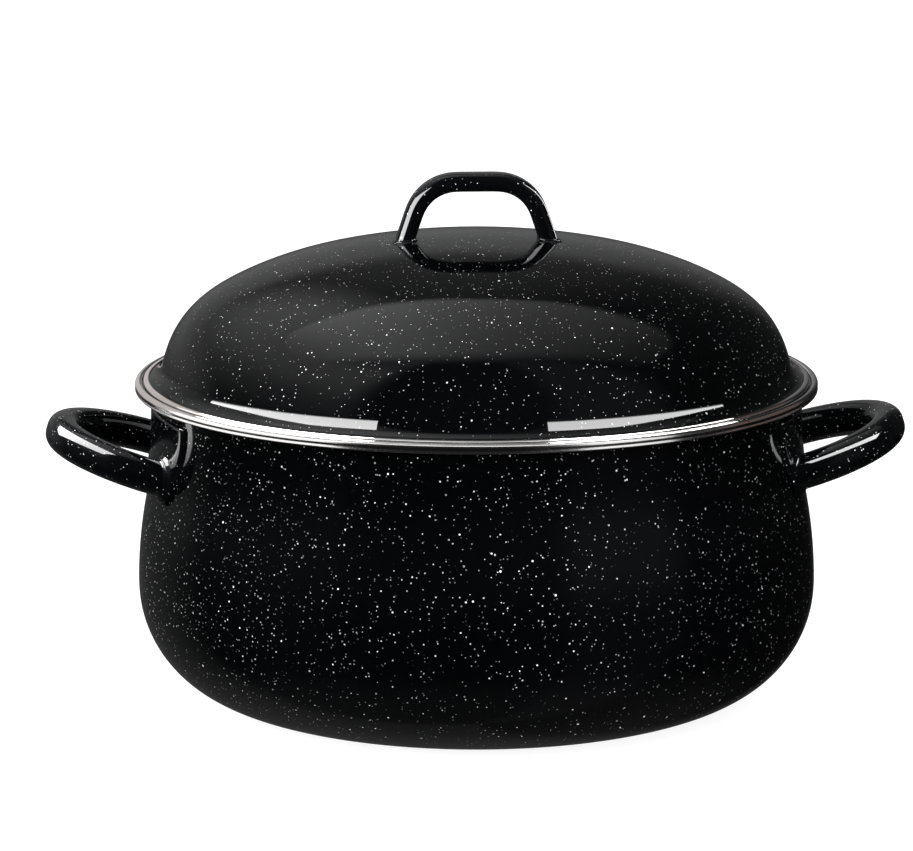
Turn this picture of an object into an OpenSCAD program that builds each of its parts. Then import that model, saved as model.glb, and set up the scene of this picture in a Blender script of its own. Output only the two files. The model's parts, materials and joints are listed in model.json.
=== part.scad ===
// Water bath canner: bellied enamel pot, domed lid and a jar rack with fold-down handles.
// Origin at the centre of the base on the ground, +Z up, handles along X, millimetres.

/* [Pot] */
// Outside diameter over the trimmed rim
rim_d = 300.6; // [300:0.1:302]
// Largest outside diameter of the belly
belly_d = 299.2; // [297:0.2:301]
// Outside diameter of the neck under the rim
neck_d = 283.2; // [282.6:0.1:283.6]
// Diameter of the flat base
base_d = 171; // [164:1:174]
// Radius of the shallow curve round the base
base_curve_r = 87.5; // [84:0.5:92]
// Angle turned by the shallow curve
base_curve_a = 20.3; // [18:0.1:22]
// Height where the wall becomes upright at the neck
neck_z = 133; // [131:0.5:134.5]
// Height of the top of the rim trim
rim_z = 144.6; // [144.4:0.1:145.2]
// Share of the upper wall that curves inwards before it turns back out
shoulder_share = 0.52; // [0.48:0.01:0.56]
// Sheet thickness of the pot
pot_t = 1.0; // [0.8:0.1:1.0]

/* [Rims] */
// Outside radius of the flare under the rim ledge
ledge_flare_r = 3; // [2.6:0.1:3]
// Thickness of the stainless trims
trim_t = 0.5; // [0.4:0.1:0.6]
// Width of the pot trim
pot_trim_w = 3.3; // [3.2:0.1:3.5]
// Height of the pot trim
pot_trim_h = 4.2; // [4:0.1:4.4]
// Width of the butt seam in the pot trim
seam_w = 0.4; // [0.2:0.1:0.8]
// Direction of the butt seam round the rim
seam_a = -42.7; // [-60:0.1:-30]

/* [Lid] */
// Radius where the flare ends and the brim starts
brim_r = 143.6; // [143.4:0.1:143.8]
// Slope of the brim
brim_a = 20; // [18:1:22]
// Length of the brim held in the trim
brim_w = 2.4; // [2.2:0.1:2.5]
// Radius of the flare between dome and brim
flare_r = 8.5; // [7.5:0.5:9]
// Radius of the crown of the dome
crown_r = 335; // [300:5:380]
// Slope where the crown ends
crown_a = 12.6; // [11:0.2:14]
// Radius of the upper shoulder of the dome
shoulder_r = 155.8; // [150:0.2:160]
// Slope where the upper shoulder ends
shoulder_a = 30.1; // [28:0.1:32]
// Slope of the side of the dome where the flare starts
side_a = 79.7; // [78:0.1:81]
// Sheet thickness of the lid
lid_t = 0.9; // [0.8:0.1:1.0]
// Outside diameter over the lid trim
lid_trim_d = 293.3; // [293.1:0.1:293.5]

/* [Lid handle] */
// Height of the top of the arch above the crown
arch_h = 28.4; // [28.4:0.1:28.5]
// Length of the straight top of the arch
arch_top_w = 18; // [17.5:0.5:18.5]
// Radius of the shoulders of the arch
arch_shoulder_r = 19.2; // [19.1:0.1:19.2]
// Lean of the arch legs
arch_lean = 18.5; // [18.4:0.1:18.6]
// Thickness of the arch bar
arch_t = 8; // [7.5:0.5:8]
// Depth of the arch bar from front to back
arch_w = 13; // [12.5:0.5:13.5]
// Corner radius of the arch bar
arch_corner_r = 3.4; // [3.4:0.1:3.5]
// Height of the weld collar round a foot of the arch
foot_collar_h = 1.4; // [1.3:0.1:1.5]
// Width of the weld collar round a foot of the arch
foot_collar_w = 1.2; // [1.1:0.1:1.3]

/* [Side handles] */
// Radius of the loop to the middle of the bar
loop_r = 42.7; // [41:0.1:45]
// Width of the bar in the plane of the loop
bar_w = 14.6; // [13:0.1:15]
// Height of the bar across the plane of the loop
bar_h = 15; // [14:0.1:16]
// Corner radius of the bar
bar_corner_r = 6.3; // [5:0.1:6.4]
// Upward tilt of the loop
loop_tilt = 17; // [13:0.5:19]
// Distance of the loop centre from the pot axis
loop_x = 141.4; // [141:0.1:143]
// Height of the loop centre
loop_z = 109.4; // [108:0.2:112]

/* [Saddles] */
// Thickness of the saddle plate
saddle_t = 1.8; // [1.4:0.1:2.2]
// Width of the saddle plate at its top
saddle_w = 122; // [120:1:130]
// Height of the straight sides of the saddle plate
saddle_side_h = 4; // [2:0.5:5]
// Radius of the two lower corners of the saddle plate
saddle_corner_r = 30; // [28:1:32]
// Height of the top edge of the saddle plate
saddle_top_z = 134.6; // [134:0.1:136]
// Height of the raised weld collar round a bar end
collar_h = 1.8; // [1.4:0.1:2.4]
// Width of the raised weld collar round a bar end
collar_w = 1.5; // [1.2:0.1:2]

/* [Jar rack] */
// Radius of the base ring
base_ring_r = 104; // [100:1:108]
// Radius of the ring that carries the feet
mid_ring_r = 78; // [76:1:82]
// Radius of the small ring in the middle
hub_ring_r = 30; // [29:0.5:31]
// Height of the middle of the three lower rings
floor_ring_z = 9; // [8.5:0.1:9.5]
// Radius of the upper ring
upper_ring_r = 127; // [126.5:0.1:127.5]
// Height of the middle of the upper ring
upper_ring_z = 116; // [115:0.5:117]
// Diameter of the ring wire
ring_wire_d = 4; // [3.8:0.1:4]
// Diameter of the thin wire
thin_wire_d = 3.2; // [3:0.1:3.4]
// Bend radius at the top of a jar divider
divider_bend_r = 12; // [10:1:14]
// Height of the stay ring that ties the dividers together
stay_ring_z = 88; // [70:1:94]

/* [Rack handles] */
// Distance of the hinge line from the rack axis
hinge_x = 117.5; // [117.2:0.1:117.8]
// Height of the hinge line above the middle of the upper ring
hinge_rise = 6.1; // [6.1:0.1:6.4]
// Half the distance between the two legs
bail_half_w = 50; // [49.5:0.5:51]
// Reach from the hinge line to the grip
bail_reach = 42; // [36:1:43]
// Diameter of the handle wire
bail_wire_d = 3.6; // [3.4:0.1:3.6]
// Running clearance round the wire in a hinge eye
eye_gap = 0.05; // [0.03:0.01:0.08]
// Outside diameter of a hinge eye
eye_d = 8.4; // [8:0.1:8.4]
// Length of a hinge eye
eye_w = 10; // [8:0.5:10]

/* [Hidden] */
$fn = 96;
shell_fn = 180;
cut = 0.3;
// Pot outline, from the base upwards
base_r = base_d / 2;
belly_r = belly_d / 2;
neck_r = neck_d / 2;
curve_end_r = base_r + base_curve_r * sin(base_curve_a);
curve_end_z = base_curve_r * (1 - cos(base_curve_a));
corner_r = (belly_r - curve_end_r) / (1 - sin(base_curve_a));
belly_z = curve_end_z + corner_r * cos(base_curve_a);
wall_a = 2 * atan((belly_r - neck_r) / (neck_z - belly_z));
wall_r_sum = (neck_z - belly_z) / sin(wall_a);
shoulder_in_r = wall_r_sum * shoulder_share;
neck_out_r = wall_r_sum - shoulder_in_r;
ledge_z = rim_z - 1.4;
ledge_r = neck_r + ledge_flare_r;
flare_z = ledge_z - pot_t - ledge_flare_r;
rim_r = rim_d / 2;
hem_in_r = rim_r - pot_trim_w + trim_t;
hem_out_r = rim_r - trim_t;
hem_top_r = (hem_out_r - hem_in_r) / 2;
hem_mid_r = (hem_out_r + hem_in_r) / 2;
hem_bottom_z = rim_z - pot_trim_h + 0.8;
trim_top_r = pot_trim_w / 2;
hem_top_z = rim_z - trim_top_r;
// Dome outline, from the brim back to the crown
brim_z = ledge_z + 2.2;
side_r = (brim_r - crown_r * sin(crown_a) - shoulder_r * (sin(shoulder_a) - sin(crown_a))
    - flare_r * (sin(side_a) - sin(brim_a))) / (sin(side_a) - sin(shoulder_a));
crown_end_r = crown_r * sin(crown_a);
shoulder_end_r = crown_end_r + shoulder_r * (sin(shoulder_a) - sin(crown_a));
side_end_r = shoulder_end_r + side_r * (sin(side_a) - sin(shoulder_a));
side_end_z = brim_z + flare_r * (cos(brim_a) - cos(side_a));
shoulder_end_z = side_end_z + side_r * (cos(shoulder_a) - cos(side_a));
crown_end_z = shoulder_end_z + shoulder_r * (cos(crown_a) - cos(shoulder_a));
crown_z = crown_end_z + crown_r * (1 - cos(crown_a));
crown_centre_z = crown_z - crown_r;
// Arch handle
arch_top_z = crown_z + arch_h - arch_t / 2;
arch_shoulder_x = arch_top_w / 2;
arch_shoulder_z = arch_top_z - arch_shoulder_r;
// Rack
ring_r = ring_wire_d / 2;
thin_r = thin_wire_d / 2;
spoke_z = floor_ring_z + ring_r + thin_r - cut;
divider_z = upper_ring_z - ring_r - thin_r + cut;
foot_r = floor_ring_z - ring_r - pot_t - thin_r + 1;
foot_z = pot_t + thin_r + foot_r;
stay_ring_r = hub_ring_r - ring_r - thin_r + cut;
eye_y = bail_half_w - 11;
hinge_z = upper_ring_z + hinge_rise;

// ---------- Shared outlines ----------

// Points on a circle of radius r about [cx, cz], from angle a0 to angle a1 in n steps.
function arc(cx, cz, r, a0, a1, n) = [
    for (i = [0 : n])
        let (a = a0 + (a1 - a0) * i / n)
            [cx + r * cos(a), cz + r * sin(a)]
];

// Rectangle with rounded corners, centred.
module rounded_rect(w, h, r) {
    square([w - 2 * r, h], center = true);
    square([w, h - 2 * r], center = true);
    for (sx = [-1, 1], sy = [-1, 1])
        translate([sx * (w / 2 - r), sy * (h / 2 - r)])
            circle(r = r, $fn = 32);
}

// Ring of round wire lying flat.
module wire_ring(r, z, wire_r) {
    translate([0, 0, z])
        rotate_extrude($fn = shell_fn)
            translate([r, 0])
                circle(r = wire_r, $fn = 24);
}

// Straight wire from one point to another, both in the plane y = 0.
module wire_xz(x0, z0, x1, z1, wire_r) {
    translate([x0, 0, z0])
        rotate([0, atan2(x1 - x0, z1 - z0), 0])
            cylinder(r = wire_r, h = norm([x1 - x0, z1 - z0]), $fn = 24);
}

// ---------- Pot ----------

// Curve of the upper wall from the shoulder to the neck, moved outwards by a given amount.
function neck_curve(grow) =
    arc(neck_r + neck_out_r, neck_z, neck_out_r - grow, 180 + wall_a, 180, 6);

// Surface of the pot from the axis up to the ledge, at a given depth below the outer skin.
function pot_skin(depth) = concat(
    [[0, depth]],
    arc(base_r, base_curve_r, base_curve_r - depth, 270, 270 + base_curve_a, 8),
    arc(belly_r - corner_r, belly_z, corner_r - depth, 270 + base_curve_a, 360, 28),
    arc(belly_r - shoulder_in_r, belly_z, shoulder_in_r - depth, 0, wall_a, 6),
    neck_curve(-depth),
    arc(ledge_r, flare_z, ledge_flare_r + depth, 180, 90, 10)
);

// Folded edge of the pot, from the inner foot of the fold over the top to its outer foot.
function hem_curve() = concat(
    arc(hem_mid_r, hem_top_z, hem_top_r, 180, 0, 12),
    [[hem_out_r, hem_bottom_z], [hem_mid_r, hem_bottom_z]]
);

module pot_body() {
    color("#151619")
        rotate_extrude($fn = shell_fn)
            polygon(concat(
                pot_skin(0),
                [[hem_in_r, ledge_z - pot_t], [hem_in_r, hem_bottom_z]],
                [for (i = [len(hem_curve()) - 1 : -1 : 0]) hem_curve()[i]],
                [[hem_in_r, ledge_z]],
                [for (i = [len(pot_skin(pot_t)) - 1 : -1 : 0]) pot_skin(pot_t)[i]]
            ));
}

module pot_rim_trim() {
    bottom_z = rim_z - pot_trim_h;
    lip_r = 0.6;
    color("#c9cbcd")
        difference() {
            rotate_extrude($fn = shell_fn)
                polygon(concat(
                    [[rim_r - pot_trim_w, ledge_z]],
                    arc(hem_mid_r, hem_top_z, trim_top_r, 180, 0, 16),
                    arc(rim_r - lip_r, bottom_z + lip_r, lip_r, 0, -90, 6),
                    [[hem_mid_r, bottom_z]],
                    [for (i = [len(hem_curve()) - 1 : -1 : 0]) hem_curve()[i]],
                    [[hem_in_r, ledge_z]]
                ));
            rotate([0, 0, seam_a])
                translate([rim_r - 10, -seam_w / 2, rim_z - 10])
                    cube([20, seam_w, 20]);
        }
}

// ---------- Side handles ----------

// Everything inside the wall, grown outwards by a given amount, over the height of the saddles.
module wall_core(grow) {
    rotate_extrude($fn = shell_fn)
        polygon(concat(
            [[0, neck_curve(grow)[0][1]]],
            neck_curve(grow),
            [[neck_r + grow, saddle_top_z], [0, saddle_top_z]]
        ));
}

// Saddle outline seen from the side: flat top, straight sides and two large lower corners.
module saddle_window() {
    half_w = saddle_w / 2;
    corner_y = half_w - saddle_corner_r;
    side_z = saddle_top_z - saddle_side_h;
    translate([-half_w, side_z])
        square([saddle_w, saddle_side_h]);
    intersection() {
        translate([-half_w, saddle_top_z - 60])
            square([saddle_w, 60]);
        union() {
            for (side = [-1, 1])
                translate([side * corner_y, side_z])
                    circle(r = saddle_corner_r);
            translate([-corner_y, side_z - saddle_corner_r])
                square([2 * corner_y, saddle_corner_r]);
        }
    }
}

module right_saddle_shape() {
    intersection() {
        difference() {
            wall_core(saddle_t);
            wall_core(0);
        }
        translate([100, 0, 0])
            rotate([90, 0, 90])
                linear_extrude(height = 60)
                    saddle_window();
    }
}

// One straight bar end, running from inside the wall to the start of the loop.
module bar_end(side, grow) {
    translate([loop_x, 0, loop_z])
        rotate([0, -loop_tilt, 0])
            translate([0, side * loop_r, 0])
                rotate([0, -90, 0])
                    linear_extrude(height = 16)
                        rounded_rect(bar_h + 2 * grow, bar_w + 2 * grow, bar_corner_r + grow);
}

module right_loop_shape() {
    difference() {
        union() {
            translate([loop_x, 0, loop_z])
                rotate([0, -loop_tilt, 0])
                    rotate([0, 0, -90])
                        rotate_extrude(angle = 180, $fn = shell_fn)
                            translate([loop_r, 0])
                                rounded_rect(bar_w, bar_h, bar_corner_r);
            bar_end(-1, 0);
            bar_end(1, 0);
        }
        wall_core(saddle_t);
    }
}

// Raised weld collar round the front end of the right-hand bar.
module front_collar() {
    difference() {
        intersection() {
            translate([loop_x, 0, loop_z])
                rotate([0, -loop_tilt, 0])
                    translate([6, -loop_r, 0])
                        rotate([0, -90, 0])
                            linear_extrude(height = 24)
                                rounded_rect(
                                    bar_h + 2 * collar_w,
                                    bar_w + 2 * collar_w,
                                    bar_corner_r + collar_w
                                );
            wall_core(saddle_t + collar_h);
        }
        wall_core(saddle_t);
        front_bar_solid();
    }
}

// Front bar end carried on far enough to clear the collar.
module front_bar_solid() {
    bar_end(-1, 0);
    translate([loop_x, 0, loop_z])
        rotate([0, -loop_tilt, 0])
            rotate([0, 0, -90])
                rotate_extrude(angle = 45, $fn = shell_fn)
                    translate([loop_r, 0])
                        rounded_rect(bar_w, bar_h, bar_corner_r);
}

module right_collars_shape() {
    front_collar();
    mirror([0, 1, 0])
        front_collar();
}

module left_handle_saddle() {
    color("#17181b")
        rotate([0, 0, 180])
            right_saddle_shape();
}

module right_handle_saddle() {
    color("#17181b")
        right_saddle_shape();
}

module left_side_handle() {
    color("#101114")
        rotate([0, 0, 180])
            right_loop_shape();
}

module right_side_handle() {
    color("#101114")
        right_loop_shape();
}

module side_handle_weld_collars() {
    color("#1b1c20") {
        right_collars_shape();
        rotate([0, 0, 180])
            right_collars_shape();
    }
}

// ---------- Lid ----------

// Surface of the dome from the axis to the start of the brim, at a given depth below the top.
function dome_skin(depth) = concat(
    crown_curve(depth),
    arc(
        crown_end_r - shoulder_r * sin(crown_a), crown_end_z - shoulder_r * cos(crown_a),
        shoulder_r - depth, 90 - crown_a, 90 - shoulder_a, 8
    ),
    arc(
        shoulder_end_r - side_r * sin(shoulder_a), shoulder_end_z - side_r * cos(shoulder_a),
        side_r - depth, 90 - shoulder_a, 90 - side_a, 20
    ),
    arc(
        side_end_r + flare_r * sin(side_a), side_end_z + flare_r * cos(side_a),
        flare_r + depth, 270 - side_a, 270 - brim_a, 12
    )
);

// Crown part of the dome surface.
function crown_curve(depth) = arc(0, crown_centre_z, crown_r - depth, 90, 90 - crown_a, 8);

// A point on the brim, a given way along it and a given depth below its top.
function brim_point(along, depth) = [
    brim_r + along * cos(brim_a) - depth * sin(brim_a),
    brim_z - along * sin(brim_a) - depth * cos(brim_a)
];

module lid_dome() {
    color("#15161a")
        rotate_extrude($fn = shell_fn)
            polygon(concat(
                dome_skin(0),
                [brim_point(brim_w, 0), brim_point(brim_w, lid_t)],
                [for (i = [len(dome_skin(lid_t)) - 1 : -1 : 0]) dome_skin(lid_t)[i]]
            ));
}

module lid_rim_trim() {
    lip_r = 1.1;
    lip_mid_r = lid_trim_d / 2 - lip_r;
    lip_mid_z = ledge_z + lip_r;
    held_from = 0.7;
    gap = 0.01;
    color("#cfd1d3")
        rotate_extrude($fn = shell_fn)
            polygon(concat(
                [brim_point(held_from, -gap), brim_point(held_from, -trim_t)],
                arc(lip_mid_r, lip_mid_z, lip_r, 90 - brim_a, -90, 12),
                [
                    [brim_point(held_from, lid_t)[0], ledge_z],
                    brim_point(held_from, lid_t + gap),
                    brim_point(brim_w + gap, lid_t + gap),
                    brim_point(brim_w + gap, -gap)
                ]
            ));
}

// Everything under the crown, raised by a given amount.
module crown_core(grow) {
    rotate_extrude($fn = shell_fn)
        polygon(concat(
            [[0, crown_z - 30]],
            crown_curve(-grow),
            [[crown_curve(-grow)[8][0], crown_z - 30]]
        ));
}

// Straight leg of the arch on the +X side, running on below the dome, grown by a given amount.
module arch_leg(grow) {
    translate([arch_shoulder_x, 0, arch_shoulder_z])
        rotate([0, -arch_lean, 0])
            translate([arch_shoulder_r, 0, -24])
                linear_extrude(height = 24)
                    rounded_rect(arch_t + 2 * grow, arch_w + 2 * grow, arch_corner_r + grow);
}

// Rounded shoulder of the arch on the +X side.
module arch_shoulder() {
    translate([arch_shoulder_x, 0, arch_shoulder_z])
        rotate([90, 0, 0])
            rotate([0, 0, arch_lean])
                rotate_extrude(angle = 90 - arch_lean, $fn = shell_fn)
                    translate([arch_shoulder_r, 0])
                        rounded_rect(arch_t, arch_w, arch_corner_r);
}

module lid_handle() {
    color("#101114")
        difference() {
            union() {
                translate([0, 0, arch_top_z])
                    rotate([0, 90, 0])
                        linear_extrude(height = arch_top_w, center = true)
                            rounded_rect(arch_t, arch_w, arch_corner_r);
                for (side = [0, 180])
                    rotate([0, 0, side]) {
                        arch_shoulder();
                        arch_leg(0);
                    }
            }
            crown_core(0);
        }
}

module lid_handle_foot_collars() {
    color("#1b1c20")
        for (side = [0, 180])
            rotate([0, 0, side])
                difference() {
                    intersection() {
                        arch_leg(foot_collar_w);
                        crown_core(foot_collar_h);
                    }
                    crown_core(0);
                    arch_leg(0);
                }
}

// ---------- Jar rack ----------

module rack_base_ring() {
    color("#b9bcc0")
        wire_ring(base_ring_r, floor_ring_z, ring_r);
}

module rack_middle_ring() {
    color("#b9bcc0")
        wire_ring(mid_ring_r, floor_ring_z, ring_r);
}

module rack_hub_ring() {
    color("#b9bcc0")
        wire_ring(hub_ring_r, floor_ring_z, ring_r);
}

module rack_upper_ring() {
    color("#b9bcc0")
        wire_ring(upper_ring_r, upper_ring_z, ring_r);
}

module rack_divider_stay_ring() {
    color("#aeb1b5")
        wire_ring(stay_ring_r, stay_ring_z, ring_r);
}

// Eight spokes laid on the lower rings and sunk slightly into them at the welds.
module rack_floor_spokes() {
    color("#aeb1b5")
        difference() {
            for (i = [0 : 7])
                rotate([0, 0, 45 * i])
                    wire_xz(hub_ring_r - 3, spoke_z, base_ring_r + 3, spoke_z, thin_r);
            wire_ring(base_ring_r, floor_ring_z, ring_r);
            wire_ring(mid_ring_r, floor_ring_z, ring_r);
            wire_ring(hub_ring_r, floor_ring_z, ring_r);
        }
}

// Four bent wire feet under the middle ring.
module rack_feet() {
    color("#aeb1b5")
        difference() {
            for (i = [0 : 3])
                rotate([0, 0, 45 + 90 * i])
                    translate([mid_ring_r, 0, foot_z])
                        rotate([0, -90, 0])
                            rotate([0, 0, 90])
                                rotate_extrude(angle = 180)
                                    translate([foot_r, 0])
                                        circle(r = thin_r, $fn = 24);
            wire_ring(mid_ring_r, floor_ring_z, ring_r);
        }
}

// Eight leaning uprights between the base ring and the upper ring.
module rack_uprights() {
    color("#aeb1b5")
        difference() {
            for (i = [0 : 7])
                rotate([0, 0, 22.5 + 45 * i])
                    wire_xz(base_ring_r, floor_ring_z, upper_ring_r, upper_ring_z, thin_r);
            wire_ring(base_ring_r, floor_ring_z, ring_r);
            wire_ring(upper_ring_r, upper_ring_z, ring_r);
        }
}

// Four bent wires that part the jars: up from the hub, over a bend and out to the upper ring.
module rack_jar_dividers() {
    bend_z = divider_z - divider_bend_r;
    color("#b4b7bb")
        difference() {
            for (i = [0 : 3])
                rotate([0, 0, 45 + 90 * i]) {
                    wire_xz(hub_ring_r, spoke_z, hub_ring_r, bend_z, thin_r);
                    translate([hub_ring_r + divider_bend_r, 0, bend_z])
                        rotate([90, 0, 0])
                            rotate([0, 0, 90])
                                rotate_extrude(angle = 90)
                                    translate([divider_bend_r, 0])
                                        circle(r = thin_r, $fn = 24);
                    wire_xz(
                        hub_ring_r + divider_bend_r, divider_z, upper_ring_r + 3, divider_z, thin_r
                    );
                }
            wire_ring(hub_ring_r, floor_ring_z, ring_r);
            wire_ring(upper_ring_r, upper_ring_z, ring_r);
            wire_ring(stay_ring_r, stay_ring_z, ring_r);
            rack_floor_spokes();
        }
}

// Four cylinders along the two hinge lines, two for each handle.
module hinge_cylinders(d, h) {
    for (sx = [-1, 1], sy = [-1, 1])
        translate([sx * hinge_x, sy * eye_y, hinge_z])
            rotate([90, 0, 0])
                cylinder(d = d, h = h, center = true);
}

// Short tubes that carry the handle wires, sitting on the upper ring.
module rack_hinge_eyes() {
    color("#b9bcc0")
        difference() {
            hinge_cylinders(eye_d, eye_w);
            hinge_cylinders(bail_wire_d + 2 * eye_gap, eye_w + 2);
        }
}

// Handle wire lying flat towards +X from its hinge line on the Y axis.
module bail_shape() {
    wire_r = bail_wire_d / 2;
    hinge_bend_r = 4;
    grip_bend_r = 10;
    for (side = [-1, 1]) {
        translate([0, side * eye_y, 0])
            rotate([90, 0, 0])
                cylinder(r = wire_r, h = eye_w + 2, center = true);
        translate([hinge_bend_r, side * (bail_half_w - hinge_bend_r), 0])
            rotate([0, 0, side > 0 ? 90 : 180])
                rotate_extrude(angle = 90)
                    translate([hinge_bend_r, 0])
                        circle(r = wire_r, $fn = 24);
        translate([0, side * (eye_y + eye_w / 2), 0])
            rotate([side > 0 ? -90 : 90, 0, 0])
                cylinder(r = wire_r, h = bail_half_w - eye_y - eye_w / 2 - hinge_bend_r);
        translate([hinge_bend_r, side * bail_half_w, 0])
            rotate([0, 90, 0])
                cylinder(r = wire_r, h = bail_reach - hinge_bend_r - grip_bend_r);
        translate([bail_reach - grip_bend_r, side * (bail_half_w - grip_bend_r), 0])
            rotate([0, 0, side > 0 ? 0 : -90])
                rotate_extrude(angle = 90)
                    translate([grip_bend_r, 0])
                        circle(r = wire_r, $fn = 24);
    }
    translate([bail_reach, 0, 0])
        rotate([90, 0, 0])
            cylinder(r = wire_r, h = 2 * (bail_half_w - grip_bend_r), center = true);
}

module rack_handle_left() {
    color("#c3c6ca")
        translate([-hinge_x, 0, hinge_z])
            bail_shape();
}

module rack_handle_right() {
    color("#c3c6ca")
        translate([hinge_x, 0, hinge_z])
            rotate([0, 0, 180])
                bail_shape();
}

pot_body();
pot_rim_trim();
left_handle_saddle();
right_handle_saddle();
left_side_handle();
right_side_handle();
side_handle_weld_collars();
lid_dome();
lid_rim_trim();
lid_handle();
lid_handle_foot_collars();
rack_base_ring();
rack_middle_ring();
rack_hub_ring();
rack_floor_spokes();
rack_feet();
rack_uprights();
rack_upper_ring();
rack_jar_dividers();
rack_divider_stay_ring();
rack_hinge_eyes();
rack_handle_left();
rack_handle_right();
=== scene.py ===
"""Looks of the water bath canner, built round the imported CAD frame. Outlines are in millimetres."""

import json
import math

import bmesh
import bpy
import numpy as np
from mathutils import Matrix, Vector

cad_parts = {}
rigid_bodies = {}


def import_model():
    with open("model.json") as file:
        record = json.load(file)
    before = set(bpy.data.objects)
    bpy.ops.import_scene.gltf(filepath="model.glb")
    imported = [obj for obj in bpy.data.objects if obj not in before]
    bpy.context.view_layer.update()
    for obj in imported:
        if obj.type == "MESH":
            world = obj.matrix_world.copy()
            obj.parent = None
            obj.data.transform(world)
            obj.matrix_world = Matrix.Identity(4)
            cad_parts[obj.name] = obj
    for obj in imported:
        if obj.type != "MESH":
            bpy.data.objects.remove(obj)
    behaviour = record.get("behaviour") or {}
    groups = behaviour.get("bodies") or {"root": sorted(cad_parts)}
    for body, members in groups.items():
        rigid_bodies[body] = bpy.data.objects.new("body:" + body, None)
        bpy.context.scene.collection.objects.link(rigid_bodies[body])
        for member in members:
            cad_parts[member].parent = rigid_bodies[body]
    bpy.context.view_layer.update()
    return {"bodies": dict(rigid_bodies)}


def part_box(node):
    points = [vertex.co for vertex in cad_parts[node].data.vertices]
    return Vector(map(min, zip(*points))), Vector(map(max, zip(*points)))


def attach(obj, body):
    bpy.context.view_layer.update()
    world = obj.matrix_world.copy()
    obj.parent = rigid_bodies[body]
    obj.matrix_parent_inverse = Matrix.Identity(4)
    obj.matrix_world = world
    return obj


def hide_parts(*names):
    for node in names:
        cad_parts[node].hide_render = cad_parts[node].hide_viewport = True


MM = 0.001
TURNS = 288

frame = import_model()


def mm_box(node):
    """Lowest and highest corner of a CAD node, in millimetres."""
    lo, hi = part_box(node)
    return lo / MM, hi / MM


# ---------------------------------------------------------------- outline helpers


def arc(cx, cz, r, a0, a1, n):
    """Points on a circle about (cx, cz), from angle a0 to a1 in n steps."""
    angles = [math.radians(a0 + (a1 - a0) * i / n) for i in range(n + 1)]
    return [(cx + r * math.cos(a), cz + r * math.sin(a)) for a in angles]


def faired(points, step, window):
    """The same open curve resampled evenly, with its bending evened out over a short window."""
    p = np.array(points, float)
    keep = np.concatenate([[True], np.linalg.norm(np.diff(p, axis=0), axis=1) > 1e-6])
    p = p[keep]
    run = np.concatenate([[0], np.cumsum(np.linalg.norm(np.diff(p, axis=0), axis=1))])
    count = max(8, int(run[-1] / step))
    s = np.linspace(0, run[-1], count + 1)
    q = np.stack([np.interp(s, run, p[:, 0]), np.interp(s, run, p[:, 1])], 1)
    d = np.diff(q, axis=0)
    turn = np.unwrap(np.arctan2(d[:, 1], d[:, 0]))
    size = np.linalg.norm(d, axis=1)
    half = max(1, int(window / step / 2))
    kernel = np.ones(2 * half + 1) / (2 * half + 1)
    for _ in range(2):
        padded = np.concatenate([np.full(half, turn[0]), turn, np.full(half, turn[-1])])
        turn = np.convolve(padded, kernel, "valid")
    heading = np.stack([np.cos(turn), np.sin(turn)], 1)
    out = np.concatenate([[q[0]], q[0] + np.cumsum(heading * size[:, None], 0)])
    out += np.linspace(0, 1, len(out))[:, None] * (q[-1] - out[-1])
    return [tuple(v) for v in out]


def offset(points, depth):
    """The open curve moved to its left-hand side by depth."""
    p = np.array(points, float)
    t = np.gradient(p, axis=0)
    t /= np.linalg.norm(t, axis=1)[:, None]
    n = np.stack([-t[:, 1], t[:, 0]], 1)
    return [tuple(v) for v in p + n * depth]


def rounded_rect(w, h, r, per_corner=8):
    """Closed outline of a rounded rectangle, anticlockwise."""
    out = []
    for sx, sy, a in ((1, 1, 0), (-1, 1, 90), (-1, -1, 180), (1, -1, 270)):
        out += arc(sx * (w / 2 - r), sy * (h / 2 - r), r, a, a + 90, per_corner)
    return out


# ---------------------------------------------------------------- mesh helpers


def piece(name, verts, faces, body, replaced, slot, sharp=38.0):
    """Makes a smooth-shaded mesh in millimetres that stands for CAD nodes and rides on a body."""
    mesh = bpy.data.meshes.new(name)
    mesh.from_pydata([Vector(v) * MM for v in verts], [], faces)
    bm = bmesh.new()
    bm.from_mesh(mesh)
    bmesh.ops.remove_doubles(bm, verts=bm.verts, dist=2e-7)
    bmesh.ops.recalc_face_normals(bm, faces=bm.faces)
    bm.to_mesh(mesh)
    bm.free()
    mesh.polygons.foreach_set("use_smooth", [True] * len(mesh.polygons))
    mesh.set_sharp_from_angle(angle=math.radians(sharp))
    obj = bpy.data.objects.new(name, mesh)
    bpy.context.scene.collection.objects.link(obj)
    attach(obj, body)
    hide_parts(*replaced)
    return obj


def lathe(outline, turns=TURNS, start=0.0, sweep=360.0):
    """Turns a closed outline of (radius, height) about the Z axis."""
    full = sweep >= 360.0
    rings = turns if full else turns + 1
    verts, faces = [], []
    count = len(outline)
    for i in range(rings):
        a = math.radians(start + sweep * i / turns)
        c, s = math.cos(a), math.sin(a)
        verts += [(r * c, r * s, z) for r, z in outline]
    for i in range(turns):
        j = (i + 1) % rings
        for k in range(count):
            m = (k + 1) % count
            if outline[k][0] < 1e-6 and outline[m][0] < 1e-6:
                continue
            quad = [i * count + k, j * count + k, j * count + m, i * count + m]
            if outline[k][0] < 1e-6:
                quad = [quad[0], quad[2], quad[3]]
            elif outline[m][0] < 1e-6:
                quad = quad[:3]
            faces.append(quad)
    if not full:
        faces.append(list(range(count)))
        faces.append([turns * count + k for k in range(count)])
    return verts, faces


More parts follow.
